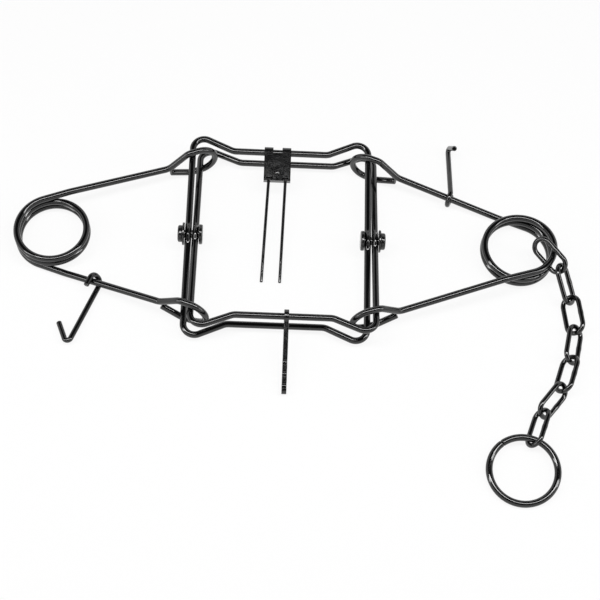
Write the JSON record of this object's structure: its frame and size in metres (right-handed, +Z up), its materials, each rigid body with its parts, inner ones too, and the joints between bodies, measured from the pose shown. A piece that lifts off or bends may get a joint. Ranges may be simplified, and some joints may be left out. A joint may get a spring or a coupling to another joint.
{
  "type": "body grip trap",
  "caption": "Rod-framed body grip trap with crossed jaws, side coil springs, safety hooks, trigger, notched dog, and a chain ending in a ring.",
  "frame": {"origin": "the middle of the bounding box, on the floor under the trap", "axes": "+X along the pivot rivets towards the chain's spring, +Y towards the jaw bar that carries the trigger, +Z up from the floor"},
  "size_m": [0.5536, 0.3868, 0.0394],
  "materials": {
    "rod": "gloss black paint over round steel rod and wire",
    "plate": "gloss black paint over sheet and flat steel",
    "rivet": "uneven black paint over peened rivets and washers"
  },
  "bodies": {
    "pivots": {"left_pivot_rivet": "rivet", "left_pivot_washer": "rivet", "right_pivot_rivet": "rivet", "right_pivot_washer": "rivet"},
    "jaw_trigger": {"jaw_trigger_side": "rod"},
    "jaw_dog": {"jaw_dog_side": "rod"},
    "left_spring_front": {"left_spring_front_half": "rod"},
    "left_spring_rear": {"left_spring_rear_half": "rod"},
    "right_spring_front": {"right_spring_front_half": "rod"},
    "right_spring_rear": {"right_spring_rear_half": "rod"},
    "left_hook": {"left_safety_hook": "rod"},
    "right_hook": {"right_safety_hook": "rod"},
    "trigger": {"trigger_bracket": "plate", "trigger_clamp": "plate", "trigger_rivet": "rivet", "trigger_wire_left": "rod", "trigger_wire_right": "rod"},
    "dog": {"dog": "plate"},
    "link_1": {"chain_link_1": "rod"},
    "link_2": {"chain_link_2": "rod"},
    "link_3": {"chain_link_3": "rod"},
    "link_4": {"chain_link_4": "rod"},
    "link_5": {"chain_link_5": "rod"},
    "link_6": {"chain_link_6": "rod"},
    "link_7": {"chain_link_7": "rod"},
    "ring": {"anchor_ring": "rod"}
  },
  "joints": [
    {"name": "jaw_trigger_swing", "type": "hinge", "parent": "pivots", "child": "jaw_trigger", "pos_m": [-0.01669, 0.06956, 0.01953], "axis": [1, 0, 0], "range_deg": [0, 40], "stiffness_Nm_per_rad": 4, "springref_deg": -17.19},
    {"name": "jaw_dog_swing", "type": "hinge", "parent": "pivots", "child": "jaw_dog", "pos_m": [-0.01669, 0.06956, 0.01953], "axis": [1, 0, 0], "range_deg": [-40, 0]},
    {"name": "left_spring_front_swing", "type": "hinge", "parent": "pivots", "child": "left_spring_front", "pos_m": [-0.25188, 0.02516, 0.01255], "axis": [-0.0472, 0, 0.9989], "range_deg": [0, 24.28], "deforming": ["left_spring_front_half"]},
    {"name": "left_spring_close", "type": "hinge", "parent": "left_spring_front", "child": "left_spring_rear", "pos_m": [-0.23985, 0.06956, 0.01312], "axis": [-0.0472, 0, 0.9989], "range_deg": [-48.56, 0], "deforming": ["left_spring_rear_half"]},
    {"name": "right_spring_front_swing", "type": "hinge", "parent": "pivots", "child": "right_spring_front", "pos_m": [0.22791, 0.02516, 0.01252], "axis": [0.0446, 0, 0.999], "range_deg": [-24.28, 0], "deforming": ["right_spring_front_half"]},
    {"name": "right_spring_close", "type": "hinge", "parent": "right_spring_front", "child": "right_spring_rear", "pos_m": [0.21587, 0.06956, 0.01306], "axis": [0.0446, 0, 0.999], "range_deg": [0, 48.56], "deforming": ["right_spring_rear_half"]},
    {"name": "left_hook_swing", "type": "hinge", "parent": "left_spring_front", "child": "left_hook", "pos_m": [-0.19507, 0.01791, 0.00929], "axis": [-0.9322, 0.3375, -0.1305], "range_deg": [0, 120]},
    {"name": "right_hook_swing", "type": "hinge", "parent": "right_spring_rear", "child": "right_hook", "pos_m": [0.1501, 0.12712, 0.01153], "axis": [0.9397, -0.3196, -0.1221], "range_deg": [0, 120]},
    {"name": "trigger_swing", "type": "hinge", "parent": "jaw_trigger", "child": "trigger", "pos_m": [-0.02319, 0.161, 0.02966], "axis": [1, 0, 0], "range_deg": [-45, 15]},
    {"name": "dog_swing", "type": "hinge", "parent": "jaw_dog", "child": "dog", "pos_m": [-0.01019, -0.02188, 0.02966], "axis": [1, 0, 0], "range_deg": [-120, 5]},
    {"name": "link_1_swing", "type": "hinge", "parent": "right_spring_front", "child": "link_1", "pos_m": [0.24741, 0.05682, 0.02497], "axis": [0.3799, 0.9249, -0.0169], "range_deg": [-10, 0]},
    {"name": "link_2_swing", "type": "hinge", "parent": "link_1", "child": "link_2", "pos_m": [0.25672, 0.04315, 0.0235], "axis": [0.5398, 0.3352, 0.7722], "range_deg": [-12, 12]},
    {"name": "link_3_swing", "type": "hinge", "parent": "link_2", "child": "link_3", "pos_m": [0.266, 0.01624, 0.00701], "axis": [0.608, 0.5583, -0.5645], "range_deg": [-12, 12]},
    {"name": "link_4_swing", "type": "hinge", "parent": "link_3", "child": "link_4", "pos_m": [0.26898, -0.01658, 0.00838], "axis": [0.741, 0.0818, 0.6665], "range_deg": [-12, 12]},
    {"name": "link_5_swing", "type": "hinge", "parent": "link_4", "child": "link_5", "pos_m": [0.26118, -0.04831, 0.00865], "axis": [0.7149, -0.1598, -0.6807], "range_deg": [-12, 12]},
    {"name": "link_6_swing", "type": "hinge", "parent": "link_5", "child": "link_6", "pos_m": [0.25055, -0.07907, 0.00906], "axis": [0.6627, -0.2125, 0.7181], "range_deg": [-12, 12]},
    {"name": "link_7_swing", "type": "hinge", "parent": "link_6", "child": "link_7", "pos_m": [0.22957, -0.10415, 0.00947], "axis": [0.5003, -0.4058, -0.7649], "range_deg": [-12, 12]},
    {"name": "ring_swing", "type": "hinge", "parent": "link_7", "child": "ring", "pos_m": [0.21942, -0.13521, 0.00982], "axis": [0.5563, -0.1899, 0.809], "range_deg": [-12, 12]}
  ],
  "couplings": [
    {"joint": "jaw_dog_swing", "follows": "jaw_trigger_swing", "ratio": -1},
    {"joint": "left_spring_front_swing", "follows": "jaw_trigger_swing", "ratio": 0.607},
    {"joint": "left_spring_close", "follows": "jaw_trigger_swing", "ratio": -1.214},
    {"joint": "right_spring_front_swing", "follows": "jaw_trigger_swing", "ratio": -0.607},
    {"joint": "right_spring_close", "follows": "jaw_trigger_swing", "ratio": 1.214}
  ]
}
